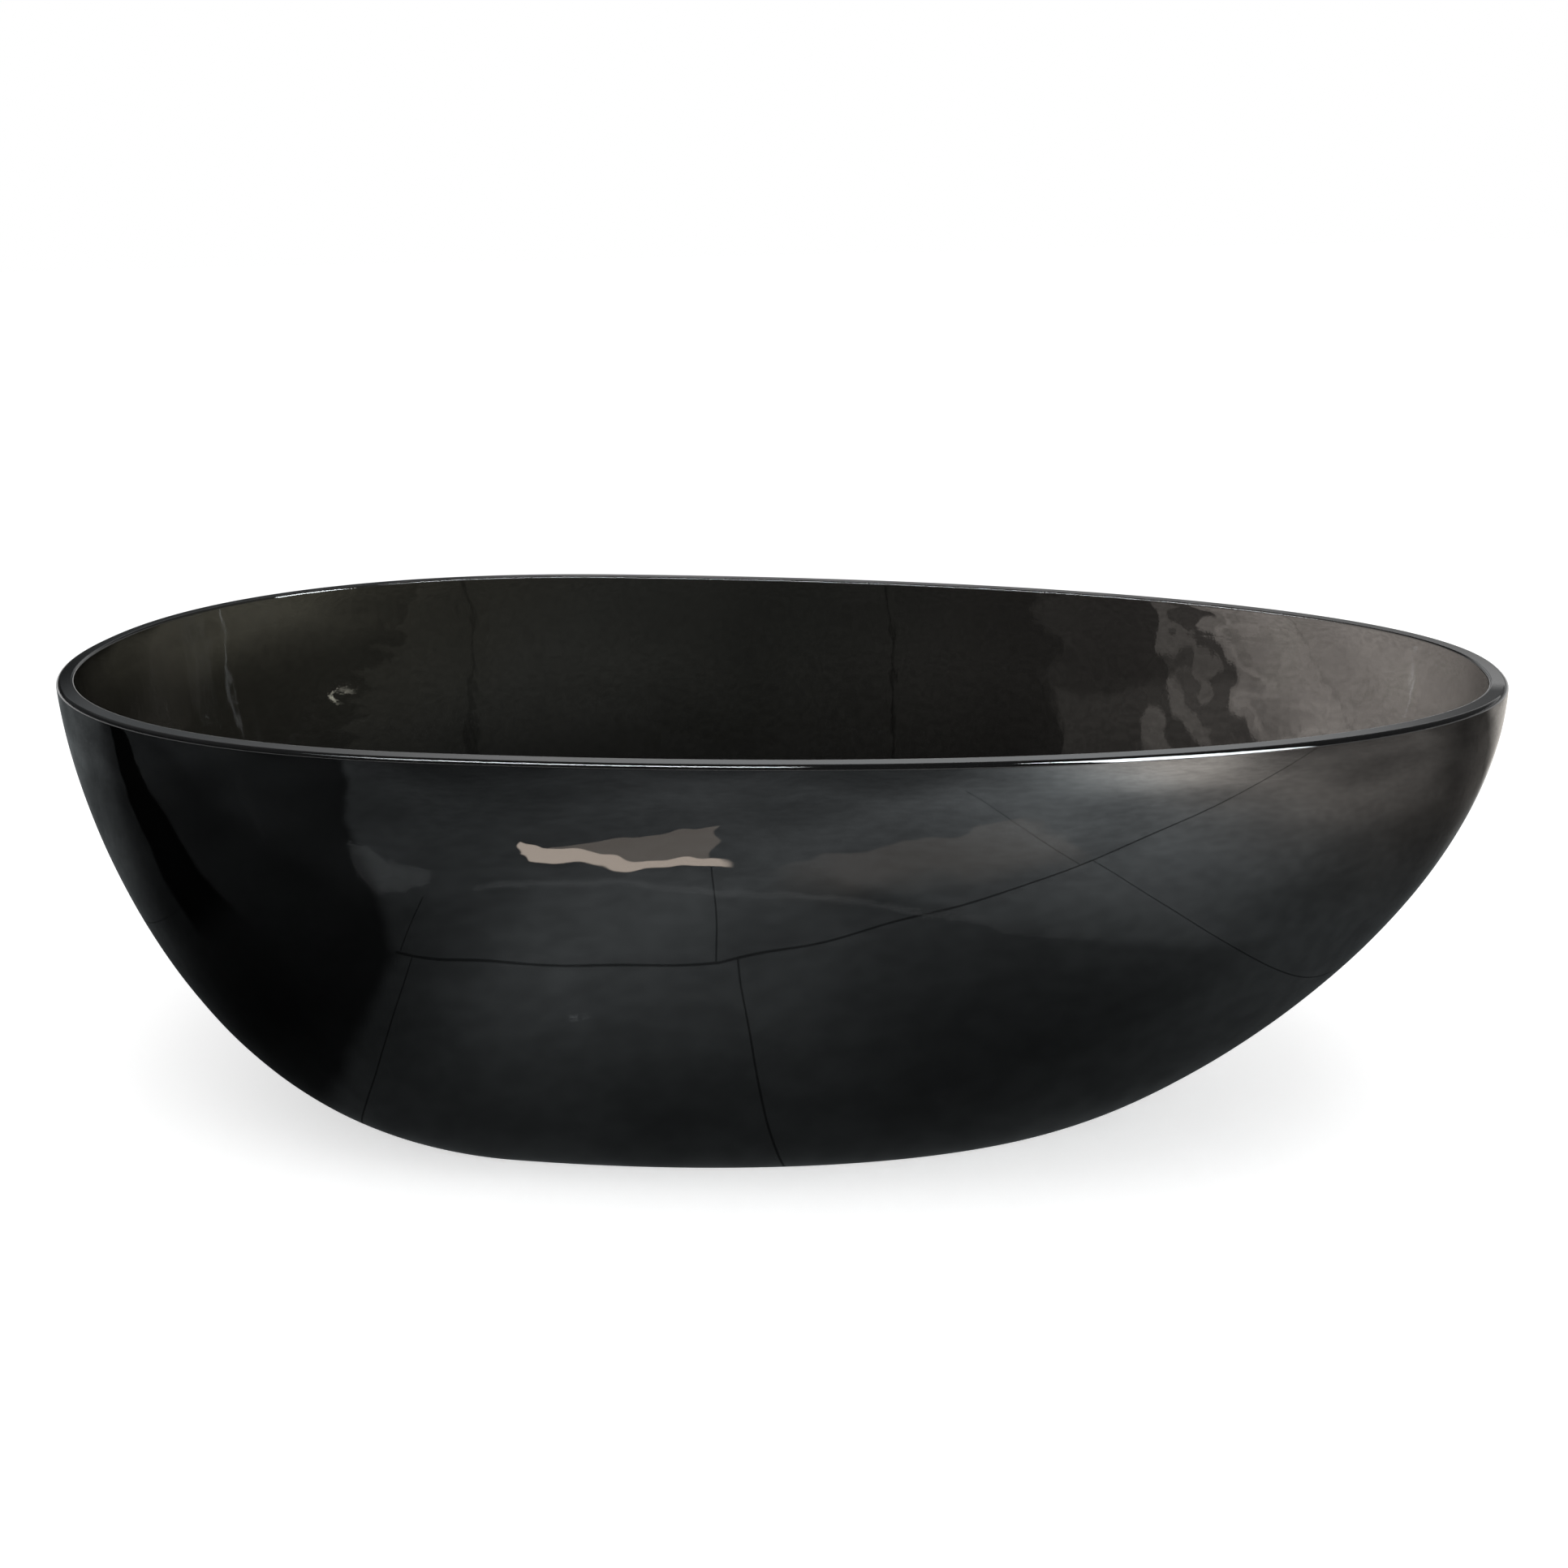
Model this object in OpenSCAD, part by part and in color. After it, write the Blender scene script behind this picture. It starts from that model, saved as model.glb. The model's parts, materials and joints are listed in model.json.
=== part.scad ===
// Freestanding bathtub: a single-walled egg-shaped shell cast in smoked resin,
// with a click-clack waste in its floor.
// Millimetres, +Z up, +X towards the sloping head end, +Y across the tub.
// The origin is on the ground, under the middle of the length and the width.

/* [Tub] */
// Length of the rim, foot end to head end
tub_l = 1700; // [1620:10:1780]
// Width of the rim at its widest station
tub_w = 800; // [740:10:860]
// Height of the rim above the ground
tub_h = 570; // [540:5:600]
// Foot end to the widest station, where the waste sits
foot_l = 600; // [560:10:660]
// Fullness of the rim's outline, where 2 is an ellipse
rim_power = 2.2; // [2:0.05:2.5]
// Thickness of the cast wall, square to its surface
wall = 20; // [14:1:24]
// Rounding of the rim's outer edge
rim_r_out = 5; // [2:0.5:8]
// Rounding of the rim's inner edge
rim_r_in = 3; // [1:0.5:5]

/* [Wall section] */
// Swell of the lower wall at the foot end, as a share of its overhang
belly_foot = 0.57; // [0.45:0.01:0.65]
// Swell of the lower wall at the head end, as a share of its overhang
belly_head = 0.27; // [0.2:0.01:0.4]
// Rise of the lower wall at the foot end, as a share of the height
lift_foot = 0.005; // [0.005:0.005:0.04]
// Rise of the lower wall at the head end, as a share of the height
lift_head = 0.075; // [0.04:0.005:0.1]
// Swell of the upper wall, just over 1 so that the rim leans in
shoulder_out = 1.045; // [1:0.005:1.06]
// Height of the shoulder, as a share of the height
shoulder_up = 0.54; // [0.48:0.01:0.6]

/* [Base] */
// Waste to the foot end of the base
base_foot = 300; // [270:5:330]
// Waste to the head end of the base
base_head = 700; // [640:10:740]
// Width of the base
base_w = 510; // [460:10:560]
// Width of the ring that the tub stands on
ring_w = 45; // [35:1:60]
// Draft of the hollow under the floor, over its whole depth
hollow_draft = 8; // [2:1:14]
// Rounding between the hollow's side and its roof
hollow_r = 12; // [4:1:20]

/* [Floor] */
// Bathing floor above the ground, at the waste
floor_z = 75; // [68:1:85]
// Thickness of the floor under the waste's seat
floor_t = 20; // [16:1:24]
// Fall of the floor from its edge to the waste
floor_fall = 8; // [4:1:12]
// Flat dish around the waste, its radius
dish_r = 60; // [46:1:80]
// Height over which the wall rounds into the floor
cove_h = 65; // [40:5:80]

/* [Waste] */
// Outer radius of the flange
flange_r = 36; // [34:0.5:40]
// Thickness of the flange
flange_t = 3; // [2.5:0.5:4]
// Radius of the G1 1/2 thread
thread_r = 23.9; // [22:0.1:25]
// Radius of the throat
throat_r = 20.5; // [19.5:0.1:21]
// Depth of the bevel that the plug's seal closes on
bevel = 3.5; // [3:0.1:4]
// Length of the body, from the flange's top face down
waste_l = 63; // [60:1:66]
// Width of the groove between the nut's stretch of thread and the trap's
relief_w = 2; // [1:0.5:3]
// Radius of the hub that carries the latch
hub_r = 9; // [8:0.5:11]
// Height of the hub and its arms
hub_h = 8; // [6:0.5:10]
// Thickness of each arm
arm_t = 4; // [2:0.5:5]
// Number of arms
arms = 4; // [3:1:4]

/* [Waste seals and nut] */
// Thickness of the gasket under the flange
flange_gasket_t = 1.5; // [1:0.5:2]
// Thickness of the rubber gasket under the floor
floor_gasket_t = 5; // [3:0.5:6]
// Thickness of the slip washer
slip_t = 1.5; // [1:0.5:2]
// Outer radius of the gasket and the washer under the floor
seal_r = 34; // [31:0.5:37]
// Back nut across its flats
nut_af = 62; // [58:1:66]
// Back nut's height
nut_h = 11; // [8:0.5:12]

/* [Plug] */
// Radius of the cap
cap_r = 32; // [29:0.5:35]
// Thickness of the cap at its edge
cap_edge = 3; // [2:0.5:4]
// Rise of the cap's dome above its edge
cap_dome = 5; // [3:0.5:8]
// Space between the closed cap and the flange
cap_gap = 1; // [0.5:0.1:2]
// Radius of the spigot that the seal is stretched over
spigot_r = 17; // [15:0.5:18]
// Lip below the seal, its reach and its height
spigot_lip = 1.5; // [0.5:0.5:1.5]
// Rise of the plug from closed to open
travel = 9; // [6:0.5:11]
// Depth that the closed plug still has to give before the latch lets go
press_gap = 1.2; // [0.8:0.1:2]

/* [Latch] */
// Outer radius of the sleeve
sleeve_r = 8; // [7.5:0.1:9]
// Thickness of the sleeve's side
sleeve_t = 1.5; // [1:0.1:2]
// Thickness of the sleeve's floor
sleeve_floor = 2.5; // [2:0.5:4]
// Radius of the stud that screws into the hub
stud_r = 5; // [4:0.5:6]
// Radius of the plunger's rod
rod_r = 3; // [2.5:0.1:3.5]
// Height of the toothed crown on the plunger
crown_h = 3; // [2.5:0.5:4]
// Height of the index rotor
rotor_h = 4; // [3.5:0.5:5]
// Height of the teeth on the crown and the rotor
tooth_h = 1.2; // [0.8:0.1:1.5]
// Number of teeth
teeth = 8; // [6:1:12]
// Thickness of the collar that closes the sleeve
collar_t = 3; // [2:0.5:4]
// Length of the spring while the plug is closed
spring_l = 6.2; // [5.5:0.1:8]
// Radius of the spring's wire
wire_r = 0.4; // [0.3:0.05:0.45]
// Turns of the spring
turns = 5; // [3:1:5]

/* [Hidden] */
$fn = 72;

columns = 96;        // stations around the shell
wall_rows = 14;      // rows up the outer wall
inner_rows = 10;     // rows down the inner wall
edge_rows = 3;       // rows over each rounded edge
cove_rows = 5;       // rows through the cove
eps = 0.5;           // overshoot of a cut
slack = 0.3;         // gap between pieces that move past each other
thread_gap = 0.05;   // gap between two threads, and between a ring and its spigot
hole_gap = 1.1;      // gap between the thread and the hole in the floor
recess_gap = 0.5;    // gap around the flange in its recess
rod_gap = 0.1;       // gap between the plunger's rod and the collar
chamfer = 1;         // chamfer of the turned and moulded edges
nut_chamfer = 2;     // chamfer of the nut's corners
coil_gap = 1.2;      // gap between the spring's centre line and the rotor's edge
stub_h = 2;          // stub under the rotor that centres the spring

head_l = tub_l - foot_l;
waste_x = foot_l - tub_l / 2;
hole_r = thread_r + hole_gap;
recess_r = flange_r + recess_gap;
seat_z = floor_z - flange_t - flange_gasket_t;
roof_z = seat_z - floor_t;
nut_z = roof_z - floor_gasket_t - slip_t - nut_h;
tail_z = floor_z - waste_l;

cap_z = floor_z + cap_gap;
seal_h = bevel;
lip_z = cap_z - seal_h - spigot_lip;
sleeve_top = lip_z - press_gap;
collar_z = sleeve_top - collar_t;
crown_z = collar_z - slack - travel - crown_h;
rotor_z = crown_z - slack - rotor_h;
spring_z = rotor_z - spring_l;
hub_top = spring_z - sleeve_floor;
bore_r = sleeve_r - sleeve_t;
rotor_r = bore_r - slack;
coil_r = rotor_r - coil_gap;
spring_sides = 8;
spring_steps = 14;

function signed_pow(v, e) = sign(v) * pow(abs(v), e);
function unit(v) = v / norm(v);
function flat(v) = [v[0], v[1], 0];

// A plan outline at angle a, with its own length towards the foot and the head.
function outline(foot, head, half, power, a) =
    [(cos(a) < 0 ? foot : head) * signed_pow(cos(a), 2 / power),
     half * signed_pow(sin(a), 2 / power)];

function rim_at(a) = outline(foot_l, head_l, tub_w / 2, rim_power, a);
function base_at(a) = outline(base_foot, base_head, base_w / 2, 2, a);
function hollow_at(a, inset) =
    outline(base_foot - ring_w - inset, base_head - ring_w - inset,
            base_w / 2 - ring_w - inset, 2, a);

// A cubic curve from 0 to 1 with its two handles.
function curve(low, high, t) =
    3 * pow(1 - t, 2) * t * low + 3 * (1 - t) * t * t * high + t * t * t;

// 0 at the foot end, 1 at the head end, for angle a.
function towards_head(a) = (1 + signed_pow(cos(a), 2 / rim_power)) / 2;
function mix(foot, head, a) = foot + (head - foot) * towards_head(a);

// The outer wall: a is the angle around the waste, t runs from ground to rim.
function outer_at(a, t) =
    let (low = base_at(a), high = rim_at(a),
         out = curve(mix(belly_foot, belly_head, a), shoulder_out, t),
         up = curve(mix(lift_foot, lift_head, a), shoulder_up, t),
         xy = low + (high - low) * out)
    [xy[0], xy[1], tub_h * up];

function normal_at(a, t) =
    unit(cross(outer_at(a + 0.5, t) - outer_at(a - 0.5, t),
               outer_at(a, t + 0.005) - outer_at(a, t - 0.005)));

function inner_at(a, t) = outer_at(a, t) - wall * normal_at(a, t);

// The t at which the wall is at height z, close below the rim.
function t_near_rim(z) = 1 - (1 - z / tub_h) / (3 * (1 - shoulder_up));

// The t at which the inner wall is at height z.
function t_inner(a, z, low = 0.02, high = 1, n = 14) =
    let (mid = (low + high) / 2)
    n == 0 ? mid
    : inner_at(a, mid)[2] > z ? t_inner(a, z, low, mid, n - 1)
    : t_inner(a, z, mid, high, n - 1);

// Rim edges: a quarter round from the wall's own slope to the flat top.
function edge_point(centre, side, lean, r, s) =
    let (phi = lean + (90 - lean) * s)
    [centre[0], centre[1], tub_h - r]
        + r * (unit(flat(side)) * cos(phi) + [0, 0, sin(phi)]);

function t_outer_edge(a) =
    t_near_rim(tub_h - rim_r_out * (1 - normal_at(a, 1)[2]));

function outer_edge(a, s) =
    let (t = t_outer_edge(a), n = normal_at(a, t))
    edge_point(outer_at(a, t) - rim_r_out * n, n, asin(n[2]), rim_r_out, s);

function t_inner_edge(a) =
    t_near_rim(tub_h - rim_r_in + (wall - rim_r_in) * normal_at(a, 1)[2]);

function inner_edge(a, s) =
    let (t = t_inner_edge(a), n = normal_at(a, t))
    edge_point(inner_at(a, t) + rim_r_in * n, -n, -asin(n[2]), rim_r_in, s);

// The cove: a curve from the wall, tangent to it, to the floor's edge.
function cove_start(a) = t_inner(a, floor_z + floor_fall + cove_h);

function cove_at(a, s) =
    let (t = cove_start(a),
         top = inner_at(a, t),
         down = unit(top - inner_at(a, t + 0.02)),
         reach = (top[2] - floor_z - floor_fall) / -down[2],
         corner = top + down * reach,
         end = corner + unit(flat(down)) * reach)
    top * pow(1 - s, 2) + corner * 2 * s * (1 - s) + end * s * s;

function hollow_edge(a, s) =
    let (xy = hollow_at(a, hollow_draft + hollow_r * (1 - cos(90 * s))))
    [xy[0], xy[1], roof_z - hollow_r * (1 - sin(90 * s))];

function with_z(xy, z) = [xy[0], xy[1], z];

module tub_shell() {
    angles = [for (j = [0 : columns - 1]) j * 360 / columns];
    rows = concat(
        [for (k = [edge_rows : -1 : 0]) [for (a = angles) hollow_edge(a, k / edge_rows)]],
        [[for (a = angles) with_z(hollow_at(a, 0), 0)]],
        [for (k = [0 : wall_rows - 1])
            [for (a = angles) outer_at(a, t_outer_edge(a) * k / wall_rows)]],
        [for (k = [0 : edge_rows]) [for (a = angles) outer_edge(a, k / edge_rows)]],
        [for (k = [edge_rows : -1 : 0]) [for (a = angles) inner_edge(a, k / edge_rows)]],
        [for (k = [1 : inner_rows])
            [for (a = angles)
                let (top = t_inner_edge(a), foot = cove_start(a))
                inner_at(a, top + (foot - top) * k / inner_rows)]],
        [for (k = [1 : cove_rows]) [for (a = angles) cove_at(a, k / cove_rows)]],
        [[for (a = angles) [dish_r * cos(a), dish_r * sin(a), floor_z]]]);
    color([0.12, 0.13, 0.14])
        translate([waste_x, 0, 0])
            difference() {
                loft(rows, [0, 0, roof_z], [0, 0, floor_z]);
                translate([0, 0, roof_z - eps])
                    cylinder(r = hole_r, h = floor_t + 2 * eps);
                translate([0, 0, seat_z])
                    cylinder(r = recess_r, h = floor_z - seat_z + eps);
            }
}

// A closed skin over rows of points, with a pole at each end.
module loft(rows, first_pole, last_pole) {
    n = len(rows[0]);
    last = len(rows) - 1;
    poles = n * (last + 1);
    points = concat([for (row = rows) for (p = row) p], [first_pole, last_pole]);
    sides = [for (i = [0 : last - 1]) for (j = [0 : n - 1])
        let (k = (j + 1) % n)
        for (face = [[i * n + j, (i + 1) * n + j, (i + 1) * n + k],
                     [i * n + j, (i + 1) * n + k, i * n + k]]) face];
    first_fan = [for (j = [0 : n - 1]) [poles, j, (j + 1) % n]];
    last_fan = [for (j = [0 : n - 1]) [poles + 1, last * n + (j + 1) % n, last * n + j]];
    polyhedron(points, concat(sides, first_fan, last_fan));
}

module at_waste(z) {
    translate([waste_x, 0, z]) children();
}

module washer(outer, inner, h) {
    difference() {
        cylinder(r = outer, h = h);
        translate([0, 0, -eps]) cylinder(r = inner, h = h + 2 * eps);
    }
}

// Flange, bevelled seat, threaded tube and the arms that carry the latch's hub.
module waste_body() {
    color([0.80, 0.81, 0.83]) {
        at_waste(0)
            rotate_extrude()
                polygon([[throat_r, tail_z],
                         [thread_r - chamfer, tail_z],
                         [thread_r, tail_z + chamfer],
                         [thread_r, nut_z - relief_w],
                         [thread_r - chamfer, nut_z - relief_w],
                         [thread_r - chamfer, nut_z],
                         [thread_r, nut_z],
                         [thread_r, floor_z - flange_t],
                         [flange_r, floor_z - flange_t],
                         [flange_r, floor_z - chamfer],
                         [flange_r - chamfer, floor_z],
                         [throat_r + bevel, floor_z],
                         [throat_r, floor_z - bevel]]);
        at_waste(hub_top - hub_h) {
            washer(hub_r, stud_r + thread_gap, hub_h);
            for (k = [0 : arms - 1])
                rotate([0, 0, (k + 0.5) * 360 / arms])
                    translate([hub_r - chamfer, -arm_t / 2, chamfer])
                        cube([throat_r - hub_r + 2 * chamfer, arm_t, hub_h - 2 * chamfer]);
        }
    }
}

module flange_gasket() {
    color([0.1, 0.1, 0.1])
        at_waste(seat_z)
            washer(flange_r - chamfer, hole_r, flange_gasket_t);
}

// The thick gasket under the floor, chamfered where the nut's thrust meets it.
module floor_gasket() {
    color([0.1, 0.1, 0.1])
        at_waste(roof_z - floor_gasket_t)
            rotate_extrude()
                polygon([[thread_r + thread_gap, 0],
                         [seal_r - chamfer, 0],
                         [seal_r, chamfer],
                         [seal_r, floor_gasket_t],
                         [thread_r + thread_gap, floor_gasket_t]]);
}

module slip_washer() {
    color([0.85, 0.85, 0.82])
        at_waste(nut_z + nut_h)
            washer(seal_r, thread_r + slack, slip_t);
}

// A hexagonal nut with its corners turned off at both faces.
module back_nut() {
    corner_r = nut_af / sqrt(3);
    color([0.80, 0.66, 0.38])
        at_waste(nut_z)
            difference() {
                intersection() {
                    cylinder(r = corner_r, h = nut_h, $fn = 6);
                    rotate_extrude()
                        polygon([[0, 0],
                                 [nut_af / 2, 0],
                                 [corner_r, nut_chamfer],
                                 [corner_r, nut_h - nut_chamfer],
                                 [nut_af / 2, nut_h],
                                 [0, nut_h]]);
                }
                translate([0, 0, -eps])
                    cylinder(r = thread_r + thread_gap, h = nut_h + 2 * eps);
            }
}

// Closed at the bottom, where its stud screws into the hub.
module latch_sleeve() {
    color([0.80, 0.66, 0.38])
        at_waste(hub_top) {
            difference() {
                cylinder(r = sleeve_r, h = sleeve_top - hub_top);
                translate([0, 0, sleeve_floor])
                    cylinder(r = bore_r, h = sleeve_top - hub_top);
            }
            translate([0, 0, -hub_h])
                cylinder(r = stud_r, h = hub_h + eps);
        }
}

module latch_collar() {
    color([0.80, 0.66, 0.38])
        at_waste(collar_z)
            washer(bore_r, rod_r + rod_gap, collar_t);
}

// A coil swept along its helix, with its ends lying flat on the seats.
module latch_spring() {
    rings = turns * spring_steps;
    rise = spring_l - 2 * wire_r;
    rows = [for (i = [0 : rings])
        let (a = i * 360 / spring_steps)
        [for (k = [0 : spring_sides - 1])
            let (b = -k * 360 / spring_sides, r = coil_r + wire_r * cos(b))
            [r * cos(a), r * sin(a), wire_r + rise * i / rings + wire_r * sin(b)]]];
    turned = turns * 360;
    color([0.70, 0.71, 0.72])
        at_waste(spring_z)
            loft(rows, [coil_r, 0, wire_r],
                 [coil_r * cos(turned), coil_r * sin(turned), spring_l - wire_r]);
}

// A ring of saw teeth standing on z = 0.
module saw_teeth(outer, inner) {
    pitch = 360 / teeth;
    intersection() {
        washer(outer, inner, tooth_h);
        for (k = [0 : teeth - 1])
            rotate([0, 0, k * pitch])
                rotate([90, 0, 90])
                    linear_extrude(outer + 1)
                        polygon([[-outer * sin(pitch / 2), 0],
                                 [outer * sin(pitch / 2), 0],
                                 [outer * sin(pitch / 2), tooth_h]]);
    }
}

// The rotor turns by one tooth as the plug changes place.
module latch_rotor() {
    body_h = rotor_h - tooth_h;
    color([0.93, 0.93, 0.9])
        at_waste(rotor_z) {
            cylinder(r = rotor_r, h = body_h);
            translate([0, 0, body_h]) saw_teeth(rotor_r, rod_r);
            translate([0, 0, -stub_h])
                cylinder(r = coil_r - wire_r - slack, h = stub_h + eps);
        }
}

module latch_plunger() {
    color([0.93, 0.93, 0.9])
        at_waste(crown_z) {
            translate([0, 0, tooth_h])
                cylinder(r = rotor_r, h = crown_h - tooth_h);
            translate([0, 0, tooth_h]) mirror([0, 0, 1]) saw_teeth(rotor_r, rod_r);
            translate([0, 0, tooth_h])
                cylinder(r = rod_r, h = cap_z + cap_edge - crown_z - tooth_h);
        }
}

// A ring whose slanted side closes on the flange's bevel.
module plug_seal() {
    clear = slack * sqrt(2);
    bore_r = spigot_r + thread_gap;
    low_r = throat_r - clear + cap_gap;
    color([0.12, 0.12, 0.12])
        at_waste(cap_z - seal_h)
            rotate_extrude()
                polygon([[bore_r, 0],
                         [low_r, 0],
                         [low_r + seal_h - cap_gap, seal_h - cap_gap],
                         [low_r + seal_h - cap_gap, seal_h],
                         [bore_r, seal_h]]);
}

// The domed cap, turned in one piece with the spigot and lip that hold the seal.
module plug_cap() {
    rim = cap_r - chamfer;
    dome_r = (pow(rim, 2) + pow(cap_dome, 2)) / (2 * cap_dome);
    dome_angle = asin(rim / dome_r);
    dome_steps = 12;
    edge_z = cap_z + cap_edge;
    dome = [for (k = [0 : dome_steps])
        let (a = dome_angle * (1 - k / dome_steps))
        [dome_r * sin(a), edge_z + cap_dome - dome_r * (1 - cos(a))]];
    color([0.80, 0.81, 0.83])
        difference() {
            at_waste(0)
                rotate_extrude()
                    polygon(concat([[0, lip_z],
                                    [spigot_r + spigot_lip, lip_z],
                                    [spigot_r + spigot_lip, lip_z + spigot_lip],
                                    [spigot_r, lip_z + spigot_lip],
                                    [spigot_r, cap_z],
                                    [rim, cap_z],
                                    [cap_r, cap_z + chamfer],
                                    [cap_r, edge_z - chamfer]],
                                   dome));
            at_waste(lip_z - eps)
                cylinder(r = rod_r + thread_gap, h = edge_z - lip_z + eps);
        }
}

tub_shell();
waste_body();
flange_gasket();
floor_gasket();
slip_washer();
back_nut();
latch_sleeve();
latch_collar();
latch_spring();
latch_rotor();
latch_plunger();
plug_seal();
plug_cap();
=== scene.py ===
import json
import math

import bpy
import numpy as np
from mathutils import Matrix


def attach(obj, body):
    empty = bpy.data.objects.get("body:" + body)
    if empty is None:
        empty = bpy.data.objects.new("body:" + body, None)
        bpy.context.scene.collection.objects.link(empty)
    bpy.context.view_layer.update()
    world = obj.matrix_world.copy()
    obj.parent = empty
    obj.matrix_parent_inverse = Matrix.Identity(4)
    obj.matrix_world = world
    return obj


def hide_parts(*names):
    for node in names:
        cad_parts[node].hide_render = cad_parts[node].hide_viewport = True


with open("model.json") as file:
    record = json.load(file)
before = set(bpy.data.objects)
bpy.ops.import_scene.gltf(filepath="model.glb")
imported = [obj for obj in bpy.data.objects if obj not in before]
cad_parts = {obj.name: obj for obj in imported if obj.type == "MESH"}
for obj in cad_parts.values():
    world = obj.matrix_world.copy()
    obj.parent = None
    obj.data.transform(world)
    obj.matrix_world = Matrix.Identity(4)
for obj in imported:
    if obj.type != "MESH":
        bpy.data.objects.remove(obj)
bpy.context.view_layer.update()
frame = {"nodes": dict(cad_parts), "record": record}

record = frame["record"]
scene = bpy.context.scene
tau = 2 * math.pi
print("frame loaded:", len(frame["nodes"]), "nodes")


# camera
view = {
    "place": (0.3344, -1.6908, 1.0626),
    "yaw": -9.967,       # to the right of square across the tub, in degrees
    "pitch": 21.067,     # looking down
    "roll": 1.51,
    "lens": 34.022981, "sensor": 36,    # in mm
    "clipEnd": 200,
}


def makeCamera():
    cam = bpy.data.cameras.new("camera")
    cam.sensor_width = view["sensor"]
    cam.lens = view["lens"]
    cam.clip_end = view["clipEnd"]
    obj = bpy.data.objects.new("camera", cam)
    turn = (Matrix.Rotation(-math.radians(view["yaw"]), 4, "Z")
            @ Matrix.Rotation(math.radians(90 - view["pitch"]), 4, "X")
            @ Matrix.Rotation(-math.radians(view["roll"]), 4, "Z"))
    obj.matrix_world = Matrix.Translation(view["place"]) @ turn
    scene.collection.objects.link(obj)
    scene.camera = obj


makeCamera()


# small helpers for meshes
def makeObject(name, points, faces, creaseAngle=35):
    mesh = bpy.data.meshes.new(name)
    mesh.from_pydata([tuple(p) for p in points], [], [tuple(f) for f in faces])
    mesh.update()
    mesh.shade_smooth()
    mesh.set_sharp_from_angle(angle=math.radians(creaseAngle))
    obj = bpy.data.objects.new(name, mesh)
    scene.collection.objects.link(obj)
    return obj


def closedMesh(rows):    # each row joins the next, and the last the first
    count = len(rows[0])
    i, j = np.meshgrid(np.arange(len(rows)), np.arange(count), indexing="ij")
    iNext, jNext = (i + 1) % len(rows), (j + 1) % count
    faces = np.stack([i * count + j, i * count + jNext, iNext * count + jNext, iNext * count + j], -1)
    return np.concatenate(rows), faces.reshape(-1, 4)


# the tub's shell, on the same rules as the CAD solid
shell = {
    "length": 1.700, "width": 0.800, "height": 0.570,
    "footLength": 0.600, "rimPower": 2.2, "wall": 0.020,
    "rimOuterRound": 0.005, "rimInnerRound": 0.003,
    "bellyFoot": 0.57, "bellyHead": 0.27, "liftFoot": 0.005, "liftHead": 0.075,
    "shoulderOut": 1.045, "shoulderUp": 0.54,
    "baseFoot": 0.300, "baseHead": 0.700, "baseWidth": 0.510,
    "ringWidth": 0.045, "hollowDraft": 0.008, "hollowRound": 0.012,
    "floorHeight": 0.075, "floorFall": 0.008, "coveHeight": 0.065, "dishRadius": 0.060,
    "seatHeight": 0.0705, "roofHeight": 0.0505, "holeRadius": 0.025, "recessRadius": 0.0365,
    "recessRound": 0.0006,
    "insideDepth": 0.04,    # depth below the rim at which the inner finish is full
}
grid = {
    "columns": 480, "wallRows": 70, "innerRows": 60, "edgeRows": 9, "coveRows": 16, "floorRows": 14,
    "hold": 0.03,           # how near an edge the next row runs, as a share of a row, so the edge stays crisp
    "roofMargin": 0.012,    # the first row round the hole in the roof
    "aroundStep": math.radians(0.5), "upStep": 0.005,    # steps between which a normal is taken
    "coveFrom": 0.02, "coveStep": 0.02, "halvings": 30,
}
wasteX = shell["footLength"] - shell["length"] / 2


def signedPow(v, e):
    return np.sign(v) * np.abs(v) ** e


def unit(v):
    return v / np.linalg.norm(v, axis=-1, keepdims=True)


def outline(foot, head, half, power, a):
    c, s = np.cos(a), np.sin(a)
    x = np.where(c < 0, foot, head) * signedPow(c, 2 / power)
    return np.stack([x, half * signedPow(s, 2 / power)], -1)


def curve(low, high, t):
    return 3 * (1 - t) ** 2 * t * low + 3 * (1 - t) * t * t * high + t ** 3


def outerAt(a, t):    # a runs round the tub, t from the ground to the rim
    k = shell
    low = outline(k["baseFoot"], k["baseHead"], k["baseWidth"] / 2, 2, a)
    high = outline(k["footLength"], k["length"] - k["footLength"], k["width"] / 2, k["rimPower"], a)
    toHead = (1 + signedPow(np.cos(a), 2 / k["rimPower"])) / 2
    out = curve(k["bellyFoot"] + (k["bellyHead"] - k["bellyFoot"]) * toHead, k["shoulderOut"], t)
    up = curve(k["liftFoot"] + (k["liftHead"] - k["liftFoot"]) * toHead, k["shoulderUp"], t)
    xy = low + (high - low) * out[..., None]
    return np.concatenate([xy, (k["height"] * up)[..., None]], -1)


def normalAt(a, t):
    around = outerAt(a + grid["aroundStep"], t) - outerAt(a - grid["aroundStep"], t)
    upward = outerAt(a, t + grid["upStep"]) - outerAt(a, t - grid["upStep"])
    return unit(np.cross(around, upward))


def innerAt(a, t):
    return outerAt(a, t) - shell["wall"] * normalAt(a, t)


def nearRim(z):
    return 1 - (1 - z / shell["height"]) / (3 * (1 - shell["shoulderUp"]))


def edgePoint(centre, side, lean, r, s):
    phi = lean + (math.pi / 2 - lean) * s
    flatSide = unit(side * [1, 1, 0])
    place = np.stack([centre[:, 0], centre[:, 1], np.full(len(centre), shell["height"] - r)], -1)
    return place + r * (flatSide * np.cos(phi)[:, None] + np.outer(np.sin(phi), [0, 0, 1]))


ripple = {
    "seed": 7,
    "outerDepth": 0.00010, "outerWave": (0.07, 0.22),
    "innerDepth": 0.00035, "innerWave": (0.09, 0.20),
    "waves": 28,
    "fade": 0.05,    # height over which it dies out towards the rim and the ground
}


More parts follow.
